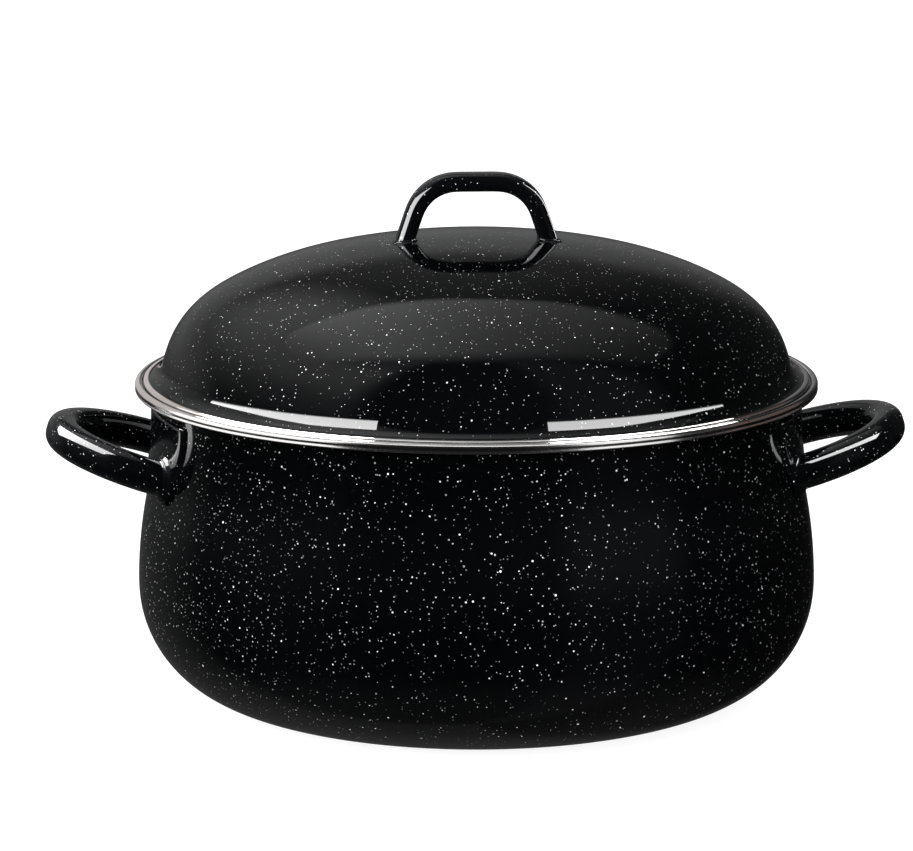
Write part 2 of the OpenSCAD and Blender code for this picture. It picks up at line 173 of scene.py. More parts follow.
def skin(rings, caps=True, closed=False):
    """Joins rings of equally many points, with a fan over each end."""
    verts, faces = [], []
    count = len(rings[0])
    for ring in rings:
        verts += [tuple(p) for p in ring]
    spans = len(rings) if closed else len(rings) - 1
    for i in range(spans):
        j = (i + 1) % len(rings)
        for k in range(count):
            m = (k + 1) % count
            faces.append([i * count + k, i * count + m, j * count + m, j * count + k])
    if caps and not closed:
        for first in (0, (len(rings) - 1) * count):
            centre = sum((Vector(verts[first + k]) for k in range(count)), Vector()) / count
            verts.append(tuple(centre))
            for k in range(count):
                faces.append([first + k, first + (k + 1) % count, len(verts) - 1])
    return verts, faces


def joined(parts):
    """Several (verts, faces) pairs as one."""
    verts, faces = [], []
    for v, f in parts:
        base = len(verts)
        verts += v
        faces += [[base + i for i in face] for face in f]
    return verts, faces


def moved(part, matrix):
    """A (verts, faces) pair after a transform."""
    v, f = part
    return [tuple(matrix @ Vector(p)) for p in v], f


def wire(path, radius, around=20, closed=False):
    """Round wire along a path of points, with rounded ends."""
    pts = [Vector(p) for p in path]
    n = len(pts)
    tangents = []
    for i in range(n):
        a = pts[(i - 1) % n] if closed or i else pts[0]
        b = pts[(i + 1) % n] if closed or i < n - 1 else pts[-1]
        tangents.append((b - a).normalized())
    up = Vector((0, 0, 1)) if abs(tangents[0].z) < 0.9 else Vector((1, 0, 0))
    normal = (up - tangents[0] * up.dot(tangents[0])).normalized()
    rings = []
    for i in range(n):
        t = tangents[i]
        normal = (normal - t * normal.dot(t)).normalized()
        side = t.cross(normal)
        ring = []
        for k in range(around):
            a = 2 * math.pi * k / around
            ring.append(pts[i] + (normal * math.cos(a) + side * math.sin(a)) * radius)
        rings.append(ring)
    if not closed:
        for end in (0, -1):
            t = tangents[end] * (-1 if end == 0 else 1)
            base = rings[end]
            centre = pts[end]
            for step in (1, 2, 3):
                a = math.radians(28 * step)
                ring = [centre + (p - centre) * math.cos(a) + t * radius * 0.45 * math.sin(a) for p in base]
                if end == 0:
                    rings.insert(0, ring)
                else:
                    rings.append(ring)
    return skin(rings, caps=not closed, closed=closed)


def bead(centre, direction, length, radius, flat=0.75, around=14):
    """A small smooth weld bead stretched along a direction."""
    t = Vector(direction).normalized()
    up = Vector((0, 0, 1)) if abs(t.z) < 0.9 else Vector((1, 0, 0))
    n = (up - t * up.dot(t)).normalized()
    b = t.cross(n)
    rings = []
    for i in range(1, 10):
        a = math.pi * i / 10
        ring = []
        for k in range(around):
            w = 2 * math.pi * k / around
            ring.append(
                Vector(centre) - t * math.cos(a) * length / 2
                + (n * math.cos(w) * flat + b * math.sin(w)) * radius * math.sin(a)
            )
        rings.append(ring)
    return skin(rings)


# ---------------------------------------------------------------- materials


class Nodes:
    """Short way to lay out the nodes of a material or of the world."""

    def __init__(self, name, world=False):
        kind = bpy.data.worlds if world else bpy.data.materials
        self.material = kind.new(name)
        self.material.use_nodes = True
        self.tree = self.material.node_tree
        self.tree.nodes.clear()
        if world:
            self.out = self.add("ShaderNodeOutputWorld")
            self.coord = self.add("ShaderNodeTexCoord").outputs["Generated"]
            return
        self.out = self.add("ShaderNodeOutputMaterial")
        self.bsdf = self.add("ShaderNodeBsdfPrincipled")
        self.link(self.bsdf.outputs["BSDF"], self.out.inputs["Surface"])
        self.coord = self.add("ShaderNodeTexCoord").outputs["Object"]

    def add(self, kind, **values):
        node = self.tree.nodes.new(kind)
        for key, value in values.items():
            setattr(node, key, value)
        return node

    def link(self, source, target):
        self.tree.links.new(source, target)

    def put(self, target, value):
        if hasattr(value, "is_output"):
            self.link(value, target)
        else:
            target.default_value = value

    def math(self, operation, a, b=0.0, clamp=False):
        node = self.add("ShaderNodeMath", operation=operation, use_clamp=clamp)
        self.put(node.inputs[0], a)
        self.put(node.inputs[1], b)
        return node.outputs[0]

    def ramp(self, value, lo, hi, to_lo=0.0, to_hi=1.0, smooth=True):
        node = self.add("ShaderNodeMapRange")
        node.interpolation_type = "SMOOTHSTEP" if smooth else "LINEAR"
        self.put(node.inputs["Value"], value)
        for key, number in (("From Min", lo), ("From Max", hi), ("To Min", to_lo), ("To Max", to_hi)):
            self.put(node.inputs[key], number)
        return node.outputs["Result"]

    def steps(self, value, points):
        """Smooth curve through (input, level) points."""
        lo, hi = points[0][0], points[-1][0]
        node = self.add("ShaderNodeValToRGB")
        node.color_ramp.interpolation = "B_SPLINE"
        self.link(self.ramp(value, lo, hi, 0.0, 1.0, False), node.inputs[0])
        stops = node.color_ramp.elements
        while len(stops) < len(points):
            stops.new(0.5)
        for stop, (x, level) in zip(stops, points):
            stop.position = (x - lo) / (hi - lo)
            stop.color = (level, level, level, 1)
        return node.outputs["Color"]

    def noise(self, scale, detail=2.0, vector=None, rough=0.5):
        node = self.add("ShaderNodeTexNoise")
        self.link(vector or self.coord, node.inputs["Vector"])
        node.inputs["Scale"].default_value = scale
        node.inputs["Detail"].default_value = detail
        node.inputs["Roughness"].default_value = rough
        return node.outputs["Fac"]

    def stretched(self, scale):
        node = self.add("ShaderNodeMapping")
        self.link(self.coord, node.inputs["Vector"])
        node.inputs["Scale"].default_value = scale
        return node.outputs["Vector"]

    def mix(self, factor, a, b):
        node = self.add("ShaderNodeMix", data_type="RGBA")
        self.put(node.inputs[0], factor)
        self.put(node.inputs[6], a)
        self.put(node.inputs[7], b)
        return node.outputs[2]

    def bump(self, height, strength, distance):
        node = self.add("ShaderNodeBump")
        node.inputs["Strength"].default_value = strength
        node.inputs["Distance"].default_value = distance
        self.link(height, node.inputs["Height"])
        self.link(node.outputs["Normal"], self.bsdf.inputs["Normal"])
        return node

    def specks(self, cell_mm, radius_mm, share, coarse, soft=0.35):
        """White dots of mixed sizes: seeds scattered through space, cut by the surface."""
        node = self.add("ShaderNodeTexVoronoi", feature="F1")
        self.link(self.coord, node.inputs["Vector"])
        node.inputs["Scale"].default_value = 1.0 / (cell_mm * MM)
        split = self.add("ShaderNodeSeparateColor")
        self.link(node.outputs["Color"], split.inputs["Color"])
        edge = radius_mm / cell_mm
        reach = self.math("MULTIPLY", self.ramp(split.outputs["Green"], 0, 1, 0.55, 1.25, False), edge)
        reach = self.math("MULTIPLY", reach, coarse)
        near = self.math("MULTIPLY", reach, 1 - soft)
        dot = self.ramp(node.outputs["Distance"], near, reach, 1.0, 0.0)
        chosen = self.math("LESS_THAN", split.outputs["Red"], share)
        bright = self.ramp(self.math("POWER", split.outputs["Blue"], 2.0), 0, 1, 0.10, 1.0, False)
        return self.math("MULTIPLY", self.math("MULTIPLY", dot, chosen), bright)


def enamel(name, amount, grain=1.0, rough=0.045, drift=None):
    """Black porcelain enamel: white specks under glass, a faint orange-peel ripple, uneven gloss.

    A drift changes the amount across the pot and up it: (from, to, share at the start), in metres.
    """
    n = Nodes(name)
    if drift:
        (x0, x1, left), (z0, z1, low) = drift
        split = n.add("ShaderNodeSeparateXYZ")
        n.link(n.coord, split.inputs[0])
        across = n.ramp(split.outputs[0], x0, x1, left * amount, amount)
        amount = n.math("MULTIPLY", across, n.ramp(split.outputs[2], z0, z1, low, 1.0))
    # Seen from further off the specks are drawn larger and fewer, so that they stay dots.
    distance = n.add("ShaderNodeCameraData").outputs["View Distance"]
    coarse = n.ramp(distance, 2.8, 4.8, 1.0, 1.7, False)
    amount = n.math("DIVIDE", amount, n.math("POWER", coarse, 1.6))
    patches = n.ramp(n.noise(22, 2), 0.3, 0.7, 0.65, 1.2)
    fine = n.specks(1.75, 0.30 * grain, n.math("MULTIPLY", amount, 0.60), coarse)
    middle = n.specks(2.5, 0.38 * grain, n.math("MULTIPLY", amount, 0.62), coarse)
    large = n.specks(5.0, 0.50 * grain, n.math("MULTIPLY", amount, 0.62), coarse)
    specks = n.math("MAXIMUM", n.math("MAXIMUM", n.math("MULTIPLY", fine, 0.7), middle), large)
    specks = n.math("MULTIPLY", specks, patches, clamp=True)
    cloud = n.ramp(n.noise(9, 3), 0.3, 0.7)
    base = n.mix(cloud, (0.0004, 0.0005, 0.0006, 1), (0.0008, 0.0009, 0.0012, 1))
    n.link(n.mix(specks, base, (0.93, 0.93, 0.94, 1)), n.bsdf.inputs["Base Color"])
    n.link(n.ramp(n.noise(60, 3), 0.3, 0.7, rough * 0.75, rough * 1.6), n.bsdf.inputs["Roughness"])
    n.bsdf.inputs["IOR"].default_value = 1.5
    peel = n.math("ADD", n.math("MULTIPLY", n.noise(38, 1), 0.8), n.math("MULTIPLY", n.noise(150, 1), 0.04))
    n.bump(peel, 0.10, 0.0008)
    return n.material


def rolled_steel(name, rough):
    """Bright rolled stainless: fine lines along the band, soft smears and a warm-grey cast."""
    n = Nodes(name)
    lines = n.noise(1.0, 3, n.stretched((40, 40, 5200)), 0.6)
    smear = n.noise(30, 3)
    tone = n.mix(n.ramp(smear, 0.3, 0.7), (0.60, 0.585, 0.575, 1), (0.74, 0.73, 0.725, 1))
    n.link(tone, n.bsdf.inputs["Base Color"])
    n.bsdf.inputs["Metallic"].default_value = 1.0
    wear = n.math("ADD", n.math("MULTIPLY", lines, 0.55), n.math("MULTIPLY", smear, 0.45))
    n.link(n.ramp(wear, 0.25, 0.75, rough * 0.7, rough * 1.5), n.bsdf.inputs["Roughness"])
    n.bump(lines, 0.10, 0.0001)
    return n.material


def plated_wire(name):
    """Plated steel wire: bright, with faint drawing lines and slightly dull patches."""
    n = Nodes(name)
    dull = n.noise(45, 3)
    tone = n.mix(n.ramp(dull, 0.35, 0.7), (0.70, 0.705, 0.715, 1), (0.55, 0.555, 0.565, 1))
    n.link(tone, n.bsdf.inputs["Base Color"])
    n.bsdf.inputs["Metallic"].default_value = 1.0
    n.link(n.ramp(dull, 0.3, 0.7, 0.13, 0.30), n.bsdf.inputs["Roughness"])
    n.bump(n.noise(700, 2), 0.12, 0.0001)
    return n.material


ENAMEL_BODY = enamel("enamel_body", 0.95, drift=((-0.13, -0.02, 1.55), (0.02, 0.06, 0.65)))
ENAMEL_LID = enamel("enamel_lid", 1.0, grain=0.88)
ENAMEL_HANDLE = enamel("enamel_handle", 1.2, grain=0.80, rough=0.05)
ENAMEL_SADDLE = enamel("enamel_saddle", 1.0, grain=0.9)
TRIM_POT = rolled_steel("stainless_pot_trim", 0.16)
TRIM_LID = rolled_steel("stainless_lid_trim", 0.10)
WIRE = plated_wire("plated_wire")


def dress(obj, material):
    obj.data.materials.clear()
    obj.data.materials.append(material)
    return obj


# ---------------------------------------------------------------- pot shell

RIM_R = mm_box("pot_rim_trim")[1].x
RIM_Z = mm_box("pot_rim_trim")[1].z
BASE_R = 85.5
BASE_CURVE_R = 87.5
BASE_CURVE_A = 20.3
BELLY_R = 149.6
NECK_R = 141.6
NECK_Z = 133.0
POT_T = 1.0
TRIM_T = 0.5
TRIM_W = 3.3
TRIM_H = 4.2
LEDGE_Z = RIM_Z - 1.4
FLARE_R = 3.0
curve_end_r = BASE_R + BASE_CURVE_R * math.sin(math.radians(BASE_CURVE_A))
curve_end_z = BASE_CURVE_R * (1 - math.cos(math.radians(BASE_CURVE_A)))
corner_r = (BELLY_R - curve_end_r) / (1 - math.sin(math.radians(BASE_CURVE_A)))
belly_z = curve_end_z + corner_r * math.cos(math.radians(BASE_CURVE_A))
wall_a = 2 * math.degrees(math.atan((BELLY_R - NECK_R) / (NECK_Z - belly_z)))
wall_r_sum = (NECK_Z - belly_z) / math.sin(math.radians(wall_a))
shoulder_in_r = wall_r_sum * 0.52
neck_out_r = wall_r_sum - shoulder_in_r

wall_outside = faired(
    arc(BASE_R, BASE_CURVE_R, BASE_CURVE_R, 270, 270 + BASE_CURVE_A, 24)
    + arc(BELLY_R - corner_r, belly_z, corner_r, 270 + BASE_CURVE_A, 360, 90)
    + arc(BELLY_R - shoulder_in_r, belly_z, shoulder_in_r, 0, wall_a, 40)
    + arc(NECK_R + neck_out_r, NECK_Z, neck_out_r, 180 + wall_a, 180, 40)
    + [(NECK_R, LEDGE_Z - POT_T - FLARE_R)],
    1.0, 9.0,
)
wall_array = np.array(wall_outside)


def wall_radius(z):
    """Outside radius of the pot wall at a height above the belly."""
    top = wall_array[len(wall_array) // 2:]
    return float(np.interp(z, top[:, 1], top[:, 0]))


flare_z = LEDGE_Z - POT_T - FLARE_R
flare_out = arc(NECK_R + FLARE_R, flare_z, FLARE_R, 180, 90, 14)
flare_in = arc(NECK_R + FLARE_R, flare_z, FLARE_R + POT_T, 180, 90, 14)
hem_out_r = RIM_R - TRIM_T
hem_in_r = RIM_R - TRIM_W + TRIM_T
hem_mid_r = (hem_in_r + hem_out_r) / 2
hem_top_r = (hem_out_r - hem_in_r) / 2
hem_top_z = RIM_Z - TRIM_W / 2
hem_low_z = RIM_Z - TRIM_H + 0.8
pot_outline = (
    [(0, 0)]
    + [(r, 0) for r in (20, 45, 70)]
    + wall_outside
    + flare_out[1:]
    + [(hem_in_r - 0.4, LEDGE_Z - POT_T), (hem_in_r, LEDGE_Z - POT_T - 0.3), (hem_in_r, hem_low_z)]
    + [(hem_mid_r, hem_low_z), (hem_out_r, hem_low_z)]
    + arc(hem_mid_r, hem_top_z, hem_top_r, 0, 180, 14)
    + [(hem_in_r, LEDGE_Z)]
    + flare_in[::-1]
    + offset(wall_outside, POT_T)[::-1][1:]
    + [(r, POT_T) for r in (70, 45, 20)]
    + [(0, POT_T)]
)
pot_shell = piece("pot_shell", *lathe(pot_outline), "pot", ["pot_body"], "enamel", 30)
dress(pot_shell, ENAMEL_BODY)

# ---------------------------------------------------------------- pot trim, with a butt seam on one side

trim_lip_r = 0.55
trim_low_z = RIM_Z - TRIM_H
pot_trim_outline = (
    [(RIM_R - TRIM_W, LEDGE_Z + 0.02)]
    + arc(hem_mid_r, hem_top_z, TRIM_W / 2, 180, 0, 22)
    + [(RIM_R, hem_top_z - 0.5), (RIM_R - 0.12, hem_top_z - 0.9), (RIM_R - 0.12, trim_low_z + 1.3)]
    + arc(RIM_R - trim_lip_r, trim_low_z + trim_lip_r, trim_lip_r, 25, -90, 9)
    + [(hem_mid_r, trim_low_z), (hem_mid_r, hem_low_z), (hem_out_r, hem_low_z)]
    + arc(hem_mid_r, hem_top_z, hem_top_r, 0, 180, 14)
    + [(hem_in_r, LEDGE_Z + 0.02)]
)
SEAM_AT = -42.7
SEAM_W = 0.16
trim_mesh = lathe(pot_trim_outline, 360, SEAM_AT + SEAM_W / 2, 360 - SEAM_W)
pot_trim = piece("pot_rim_band", *trim_mesh, "pot", ["pot_rim_trim"], "stainless_trim", 34)
dress(pot_trim, TRIM_POT)

# ---------------------------------------------------------------- lid

CROWN_Z = mm_box("lid_dome")[1].z
LID_T = 0.9
BRIM_R, BRIM_Z, BRIM_A, BRIM_W = 143.6, LEDGE_Z + 2.2, 20.0, 2.4
FLARE_DOME_R = 8.5
CROWN_R, CROWN_A = 335.0, 12.6
SHOULDER_R, SHOULDER_A = 155.8, 30.1
SIDE_A = 79.7


def sind(a):
    return math.sin(math.radians(a))


def cosd(a):
    return math.cos(math.radians(a))


side_r = (
    BRIM_R - CROWN_R * sind(CROWN_A) - SHOULDER_R * (sind(SHOULDER_A) - sind(CROWN_A))
    - FLARE_DOME_R * (sind(SIDE_A) - sind(BRIM_A))
) / (sind(SIDE_A) - sind(SHOULDER_A))
crown_end = (CROWN_R * sind(CROWN_A), CROWN_Z - CROWN_R * (1 - cosd(CROWN_A)))
shoulder_end = (
    crown_end[0] + SHOULDER_R * (sind(SHOULDER_A) - sind(CROWN_A)),
    crown_end[1] - SHOULDER_R * (cosd(CROWN_A) - cosd(SHOULDER_A)),
)
side_end = (
    shoulder_end[0] + side_r * (sind(SIDE_A) - sind(SHOULDER_A)),
    shoulder_end[1] - side_r * (cosd(SHOULDER_A) - cosd(SIDE_A)),
)
dome_top = faired(
    arc(0, CROWN_Z - CROWN_R, CROWN_R, 90, 90 - CROWN_A, 40)
    + arc(crown_end[0] - SHOULDER_R * sind(CROWN_A), crown_end[1] - SHOULDER_R * cosd(CROWN_A),
          SHOULDER_R, 90 - CROWN_A, 90 - SHOULDER_A, 40)
    + arc(shoulder_end[0] - side_r * sind(SHOULDER_A), shoulder_end[1] - side_r * cosd(SHOULDER_A),
          side_r, 90 - SHOULDER_A, 90 - SIDE_A, 60),
    1.0, 16.0,
)
dome_flare = arc(side_end[0] + FLARE_DOME_R * sind(SIDE_A), side_end[1] + FLARE_DOME_R * cosd(SIDE_A),
                 FLARE_DOME_R, 270 - SIDE_A, 270 - BRIM_A, 22)
lid_skin = [(r, z) for r, z in dome_top[1:] if r > 2] + dome_flare[1:]
brim_end = (BRIM_R + BRIM_W * cosd(BRIM_A), BRIM_Z - BRIM_W * sind(BRIM_A))
lid_skin.append(brim_end)
lid_outline = [(0, CROWN_Z)] + lid_skin + offset(lid_skin, -LID_T)[::-1] + [(0, CROWN_Z - LID_T)]
lid_shell = piece("lid_shell", *lathe(lid_outline), "lid", ["lid_dome"], "enamel", 30)
dress(lid_shell, ENAMEL_LID)

lid_trim_r = mm_box("lid_rim_trim")[1].x
bead_r = 1.1
held = (BRIM_R + 0.7 * cosd(BRIM_A), BRIM_Z - 0.7 * sind(BRIM_A))
lip = (sind(BRIM_A) * TRIM_T, cosd(BRIM_A) * TRIM_T)
lid_trim_outline = (
    [held, (held[0] + lip[0] * 0.7 - 0.1, held[1] + lip[1] * 0.7)]
    + [(held[0] + lip[0] + 0.25, held[1] + lip[1])]
    + arc(lid_trim_r - bead_r, LEDGE_Z + bead_r, bead_r, 90 - BRIM_A, -90, 20)
    + [(BRIM_R + 0.7 * cosd(BRIM_A) - LID_T * sind(BRIM_A), LEDGE_Z)]
    + [(held[0] - LID_T * sind(BRIM_A), held[1] - LID_T * cosd(BRIM_A))]
    + [(brim_end[0] - LID_T * sind(BRIM_A), brim_end[1] - LID_T * cosd(BRIM_A)), brim_end]
)
lid_trim = piece("lid_rim_band", *lathe(lid_trim_outline, 360), "lid", ["lid_rim_trim"], "stainless_trim", 34)
dress(lid_trim, TRIM_LID)


def crown_height(x, y):
    """Height of the outer face of the crown."""
    return CROWN_Z - CROWN_R + math.sqrt(CROWN_R ** 2 - x * x - y * y)


# ---------------------------------------------------------------- lid handle

ARCH_T, ARCH_W, ARCH_CORNER = 8.0, 13.0, 3.4
ARCH_TOP_W, ARCH_SHOULDER_R, ARCH_LEAN = 18.0, 19.2, 18.5
arch_top_z = mm_box("lid_handle")[1].z - ARCH_T / 2
arch_sz = arch_top_z - ARCH_SHOULDER_R
arch_section = rounded_rect(ARCH_T, ARCH_W, ARCH_CORNER)


def arch_frames():
    """Centre line of the arch from the left foot to the right one, with its outward direction."""
    line = [(ARCH_TOP_W / 2 * t / 8, arch_top_z) for t in range(8)]
    line += arc(ARCH_TOP_W / 2, arch_sz, ARCH_SHOULDER_R, 90, ARCH_LEAN, 24)
    end_x, end_z = line[-1]
    down = Vector((sind(ARCH_LEAN), -cosd(ARCH_LEAN)))
    length = (end_z - CROWN_Z + 8) / cosd(ARCH_LEAN)
    line += [(end_x + down.x * length * t / 8, end_z + down.y * length * t / 8) for t in range(1, 9)]
    line = faired(line, 0.8, 5.0)
    both = [(-x, z) for x, z in line[::-1]] + line[1:]
    frames = []
    for i, (x, z) in enumerate(both):
        a, b = both[max(0, i - 1)], both[min(len(both) - 1, i + 1)]
        t = Vector((b[0] - a[0], 0, b[1] - a[1])).normalized()
        frames.append((Vector((x, 0, z)), Vector((-t.z, 0, t.x)), t))
    return frames


def drop_to_crown(point, direction, sink):
    """Where a line from a point meets the crown, sunk a little into it."""
    p = Vector(point)
    for _ in range(20):
        p += direction * ((p.z - crown_height(p.x, p.y) + sink) / -direction.z)
    return p


arch_rings = []
for centre, outward, along in arch_frames():
    ring = [centre + outward * u + Vector((0, v, 0)) for u, v in arch_section]
    arch_rings.append(ring)
kept = [r for r in arch_rings if min(p.z - crown_height(p.x, p.y) for p in r) > 0.4]
leg = {side: Vector((side * sind(ARCH_LEAN), 0, -cosd(ARCH_LEAN))) for side in (-1, 1)}
left_end = [drop_to_crown(p, leg[-1], 0.4) for p in kept[0]]
right_end = [drop_to_crown(p, leg[1], 0.4) for p in kept[-1]]
kept = [left_end] + kept + [right_end]
arch = piece("lid_arch_handle", *skin(kept), "lid", ["lid_handle"], "enamel")
dress(arch, ENAMEL_HANDLE)


def arch_collar(side):
    """Enamelled weld roll round one foot of the arch, blending out on to the crown."""
    ring0 = kept[0] if side < 0 else kept[-1]
    centre = sum((Vector(p) for p in ring0), Vector()) / len(ring0)
    count = len(ring0)
    profile = [(-0.35, 1.5), (0.02, 1.25)]
    profile += [(0.40 + 0.40 * cosd(a), 0.65 + 0.45 * sind(a)) for a in range(150, -31, -20)]
    profile += [(0.95, 0.28), (1.25, 0.10), (1.6, 0.02), (1.8, -0.3)]
    out = []
    for along, high in profile:
        loop = []
        for k in range(count):
            p = Vector(ring0[k])
            n = Vector(ring0[(k + 1) % count]) - Vector(ring0[k - 1])
            away = Vector((n.y, -n.x, 0))
            if away.length < 1e-6:
                away = p - centre
            away.z = 0
            away.normalize()
            if away.dot(p - centre) < 0:
                away.negate()
            q = p + away * along
            lean = -high * leg[side].x
            loop.append(Vector((q.x + lean * 0.8, q.y, crown_height(q.x, q.y) + high)))
        out.append(loop)
    return skin(out, caps=False, closed=True)


collars = joined([arch_collar(-1), arch_collar(1)])
foot_rolls = piece("lid_handle_foot_rolls", *collars, "lid", ["lid_handle_foot_collars"], "enamel", 60)
dress(foot_rolls, ENAMEL_HANDLE)

# ---------------------------------------------------------------- side handles, saddles, collars

LOOP_R, BAR_W, BAR_H, BAR_CORNER = 42.7, 14.6, 15.0, 6.3
LOOP_TILT, LOOP_X, LOOP_Z = 17.0, 141.4, 109.4
SADDLE_T, SADDLE_W, SADDLE_SIDE_H, SADDLE_CORNER = 1.8, 122.0, 4.0, 30.0
SADDLE_TOP = mm_box("right_handle_saddle")[1].z
bar_section = rounded_rect(BAR_W, BAR_H, BAR_CORNER, 10)
tilt = Matrix.Rotation(math.radians(-LOOP_TILT), 4, "Y")
loop_at = Matrix.Translation((LOOP_X, 0, LOOP_Z)) @ tilt
half_turn = Matrix.Rotation(math.pi, 4, "Z")


def to_wall(point, direction, gap):
    """Moves a point along a line until it is a given gap outside the pot wall."""
    p = Vector(point)
    for _ in range(30):
        away = math.hypot(p.x, p.y) - wall_radius(p.z) - gap
        p += direction * (away / max(0.2, -direction.x * p.x / math.hypot(p.x, p.y)))
    return p


def loop_mesh():
    """Right-hand loop: two straight bar ends and a half circle, cut to fit the saddle."""
    rings = []
    inward = (tilt @ Vector((-1, 0, 0, 0))).to_3d()
    for y, sign in ((-LOOP_R, -1), (LOOP_R, 1)):
        ring = [loop_at @ Vector((0, y + sign * u, v)) for u, v in bar_section]
        end = [to_wall(p, inward, SADDLE_T - 0.5) for p in ring]
        rings.append([end, [p * 0.35 + q * 0.65 for p, q in zip(end, ring)]])
    middle = []
    for i in range(65):
        a = math.radians(-90 + 180 * i / 64)
        radial = Vector((math.cos(a), math.sin(a), 0))
        middle.append([loop_at @ (radial * (LOOP_R + u) + Vector((0, 0, v))) for u, v in bar_section])
    return skin(rings[0] + middle + rings[1][::-1])


right_loop = loop_mesh()
for name, part, node in (
    ("right_loop_handle", right_loop, "right_side_handle"),
    ("left_loop_handle", moved(right_loop, half_turn), "left_side_handle"),
):
    dress(piece(name, *part, "pot", [node], "enamel"), ENAMEL_HANDLE)


def saddle_loop(inset, count=160):
    """Saddle outline seen from the side, drawn in by an inset, as (across, height)."""
    half = SADDLE_W / 2 - inset
    top = SADDLE_TOP - inset
    r = max(0.5, SADDLE_CORNER - inset)
    low = SADDLE_TOP - SADDLE_SIDE_H - SADDLE_CORNER + inset
    tr = max(0.4, 1.6 - inset * 0.6)
    raw = (
        arc(half - tr, top - tr, tr, 0, 90, 8)
        + arc(-half + tr, top - tr, tr, 90, 180, 8)
        + arc(-half + r, low + r, r, 180, 270, 40)
        + arc(half - r, low + r, r, 270, 360, 40)
    )
    p = np.array(raw + raw[:1])
    run = np.concatenate([[0], np.cumsum(np.linalg.norm(np.diff(p, axis=0), axis=1))])
    s = np.linspace(0, run[-1], count, endpoint=False)
    return list(zip(np.interp(s, run, p[:, 0]), np.interp(s, run, p[:, 1])))


def saddle_mesh():
    """Plate wrapped on the wall, with a rounded edge that runs down to the pot."""
    fillet = 1.7
    rings = []

    def wrap(outline, high):
        return [
            Vector((math.sqrt(max(1.0, (wall_radius(z) + high) ** 2 - y * y)), y, z)) for y, z in outline
        ]

    outer = saddle_loop(0)
    rings.append(wrap(outer, -0.3))
    for a in range(0, 91, 9):
        rings.append(wrap(saddle_loop(fillet * (1 - cosd(a))), (SADDLE_T - 0.05) * sind(a) + 0.05))
    inner = saddle_loop(fillet)
    cz = sum(z for _, z in inner) / len(inner)
    for k in range(1, 13):
        f = 1 - k / 13
        rings.append(wrap([(y * f, cz + (z - cz) * f) for y, z in inner], SADDLE_T))
    verts, faces = skin(rings, caps=False)
    count = len(inner)
    verts.append(tuple(wrap([(0, cz)], SADDLE_T)[0]))
    first = (len(rings) - 1) * count
    faces += [[first + k, first + (k + 1) % count, len(verts) - 1] for k in range(count)]
    back = [wrap([(y * f, cz + (z - cz) * f) for y, z in outer], -0.3) for f in (0.66, 0.33)]
    for ring in back:
        verts += [tuple(p) for p in ring]
    ids = [0, len(verts) - 2 * count, len(verts) - count]
    for a, b in zip(ids, ids[1:]):
        faces += [[a + k, b + k, b + (k + 1) % count, a + (k + 1) % count] for k in range(count)]
    verts.append(tuple(wrap([(0, cz)], -0.3)[0]))
    faces += [[ids[2] + (k + 1) % count, ids[2] + k, len(verts) - 1] for k in range(count)]
    return verts, faces


right_saddle = saddle_mesh()
for name, part, node in (
    ("right_saddle_plate", right_saddle, "right_handle_saddle"),
    ("left_saddle_plate", moved(right_saddle, half_turn), "left_handle_saddle"),
):
    dress(piece(name, *part, "pot", [node], "enamel", 50), ENAMEL_SADDLE)


def bar_collar(sign):
    """Weld roll round one bar end, blending on to the saddle."""
    inward = (tilt @ Vector((-1, 0, 0, 0))).to_3d()
    profile = [(-0.35, 2.4), (0.02, 2.0)]
    profile += [(0.7 + 0.7 * cosd(a), 1.05 + 0.75 * sind(a)) for a in range(150, -31, -20)]
    profile += [(1.7, 0.42), (2.2, 0.16), (2.8, 0.03), (3.2, -0.4)]
    rings = []
    for away, high in profile:
        grown = rounded_rect(BAR_W + 2 * away, BAR_H + 2 * away, max(0.5, BAR_CORNER + away), 10)
        ring = []
        for u, v in grown:
            p = loop_at @ Vector((4.0, sign * (LOOP_R + u), v))
            ring.append(to_wall(p, inward, SADDLE_T + high))
        rings.append(ring)
    return skin(rings, caps=False, closed=True)


right_collars = joined([bar_collar(-1), bar_collar(1)])
all_collars = joined([right_collars, moved(right_collars, half_turn)])
weld_rolls = piece("side_handle_weld_rolls", *all_collars, "pot", ["side_handle_weld_collars"], "enamel", 60)
dress(weld_rolls, ENAMEL_HANDLE)

# ---------------------------------------------------------------- jar rack

RING_R, THIN_R = 2.0, 1.6
BASE_RING_R, MID_RING_R, HUB_RING_R = 104.0, 78.0, 30.0
FLOOR_Z = 9.0
UPPER_R, UPPER_Z = 127.0, 116.0
SPOKE_Z = FLOOR_Z + RING_R + THIN_R - 0.3
DIVIDER_Z = UPPER_Z - RING_R - THIN_R + 0.3
BEND_R = 12.0
STAY_Z = 88.0
STAY_R = HUB_RING_R - RING_R - THIN_R + 0.3
HINGE_X, HINGE_Z = 117.5, 122.1
BAIL_R, BAIL_HALF_W, BAIL_REACH = 1.8, 50.0, 42.0
EYE_Y, EYE_W, EYE_R = 39.0, 10.0, 4.2
BUTT_WELD_AT = 11


def circle(r, z, n=180):
    return [(r * cosd(360 * i / n), r * sind(360 * i / n), z) for i in range(n)]


def turned(points, a):
    m = Matrix.Rotation(math.radians(a), 3, "Z")
    return [m @ Vector(p) for p in points]


